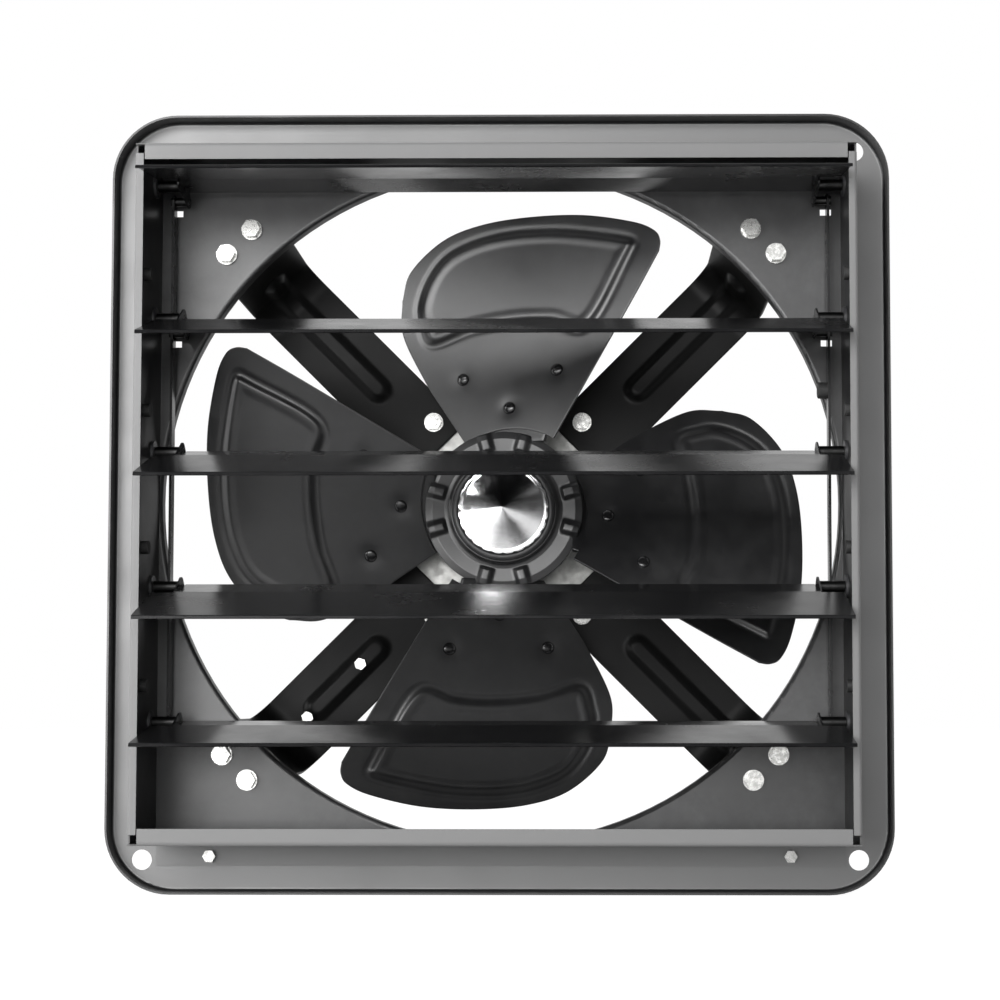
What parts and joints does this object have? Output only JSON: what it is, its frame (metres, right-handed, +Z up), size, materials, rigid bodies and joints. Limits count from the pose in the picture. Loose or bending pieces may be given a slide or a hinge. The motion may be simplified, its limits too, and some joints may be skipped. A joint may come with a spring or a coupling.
{
  "type": "shutter exhaust fan",
  "caption": "Square wall exhaust fan with a folded-steel shutter box of linked louvers in front of a pressed fan wheel, carried by ribbed arms and a motor behind.",
  "frame": {"origin": "centre of the orifice on the panel's front face, which is the middle of the four wall bolts", "axes": "+Z up, +X to the right as seen from the shutter side, +Y back along the shaft to the motor"},
  "size_m": [0.48, 0.2675, 0.48],
  "materials": {
    "panel_paint": "semi-gloss black paint on pressed steel",
    "box_paint": "semi-gloss black paint on folded steel strip",
    "louver_paint": "gloss black paint on thin steel sheet",
    "arm_paint": "satin black paint on pressed steel",
    "blade_paint": "satin black paint on pressed steel",
    "hub_paint": "satin black paint",
    "zinc": "bright zinc plating",
    "steel": "ground steel",
    "pin_steel": "dark turned steel",
    "copper": "enamelled copper wire",
    "cast_alloy": "die-cast alloy",
    "chrome": "spun and chromed",
    "black_plastic": "moulded, fine grain",
    "nylon": "moulded nylon",
    "rubber": "moulded rubber"
  },
  "bodies": {
    "frame": {"mounting_panel": "panel_paint", "frame_top": "box_paint", "frame_bottom": "box_paint", "frame_left": "box_paint", "frame_right": "box_paint", "arm_top_right": "arm_paint", "arm_top_left": "arm_paint", "arm_bottom_left": "arm_paint", "arm_bottom_right": "arm_paint", "capacitor_clamp": "arm_paint", "frame_screws": "zinc", "arm_bolts": "zinc", "arm_nuts": "zinc", "motor_nuts": "zinc", "motor_studs": "zinc", "clamp_screws": "zinc", "shield_bolts": "zinc", "corner_rivets": "zinc", "bearing_front": "steel", "bearing_rear": "steel", "motor_stator": "steel", "motor_windings": "copper", "motor_shield_front": "cast_alloy", "motor_shield_rear": "cast_alloy", "motor_housing": "cast_alloy", "terminal_box": "black_plastic", "terminal_lid": "black_plastic", "cable_gland": "black_plastic", "capacitor": "black_plastic", "pivot_bushings": "nylon", "side_studs": "rubber"},
    "fan": {"blade_1": "blade_paint", "blade_2": "blade_paint", "blade_3": "blade_paint", "blade_4": "blade_paint", "blade_rivets": "hub_paint", "hub_spider": "hub_paint", "hub_nut": "zinc", "cap_ring": "black_plastic", "spinner_cap": "chrome", "motor_shaft": "steel", "motor_rotor": "steel"},
    "tie_bar_left": {"tie_bar_left": "louver_paint"},
    "tie_bar_right": {"tie_bar_right": "louver_paint", "link_weight": "rubber"},
    "louver_1": {"louver_1": "louver_paint", "louver_1_pins": "pin_steel"},
    "louver_2": {"louver_2": "louver_paint", "louver_2_pins": "pin_steel"},
    "louver_3": {"louver_3": "louver_paint", "louver_3_pins": "pin_steel"},
    "louver_4": {"louver_4": "louver_paint", "louver_4_pins": "pin_steel"},
    "louver_5": {"louver_5": "louver_paint", "louver_5_pins": "pin_steel"}
  },
  "joints": [
    {"name": "fan_spin", "type": "hinge", "parent": "frame", "child": "fan", "pos_m": [0, 0.05, 0], "axis": [0, 1, 0], "continuous": true},
    {"name": "louver_1_pivot", "type": "hinge", "parent": "frame", "child": "louver_1", "pos_m": [0, -0.018, 0.1935], "axis": [1, 0, 0], "range_deg": [-6, 64]},
    {"name": "louver_2_pivot", "type": "hinge", "parent": "frame", "child": "louver_2", "pos_m": [0, -0.018, 0.11125], "axis": [1, 0, 0], "range_deg": [-6, 64]},
    {"name": "louver_3_pivot", "type": "hinge", "parent": "frame", "child": "louver_3", "pos_m": [0, -0.018, 0.029], "axis": [1, 0, 0], "range_deg": [-6, 64]},
    {"name": "louver_4_pivot", "type": "hinge", "parent": "frame", "child": "louver_4", "pos_m": [0, -0.018, -0.05325], "axis": [1, 0, 0], "range_deg": [-6, 64]},
    {"name": "louver_5_pivot", "type": "hinge", "parent": "frame", "child": "louver_5", "pos_m": [0, -0.018, -0.1355], "axis": [1, 0, 0], "range_deg": [-6, 64]},
    {"name": "tie_bar_left_link", "type": "hinge", "parent": "louver_3", "child": "tie_bar_left", "pos_m": [-0.20225, -0.00817, 0.02212], "axis": [1, 0, 0], "range_deg": [-64, 6]},
    {"name": "tie_bar_right_link", "type": "hinge", "parent": "louver_3", "child": "tie_bar_right", "pos_m": [0.20225, -0.00817, 0.02212], "axis": [1, 0, 0], "range_deg": [-64, 6]}
  ],
  "couplings": [
    {"joint": "louver_1_pivot", "follows": "louver_3_pivot", "ratio": 1},
    {"joint": "louver_2_pivot", "follows": "louver_3_pivot", "ratio": 1},
    {"joint": "louver_4_pivot", "follows": "louver_3_pivot", "ratio": 1},
    {"joint": "louver_5_pivot", "follows": "louver_3_pivot", "ratio": 1},
    {"joint": "tie_bar_left_link", "follows": "louver_3_pivot", "ratio": -1},
    {"joint": "tie_bar_right_link", "follows": "louver_3_pivot", "ratio": -1}
  ]
}
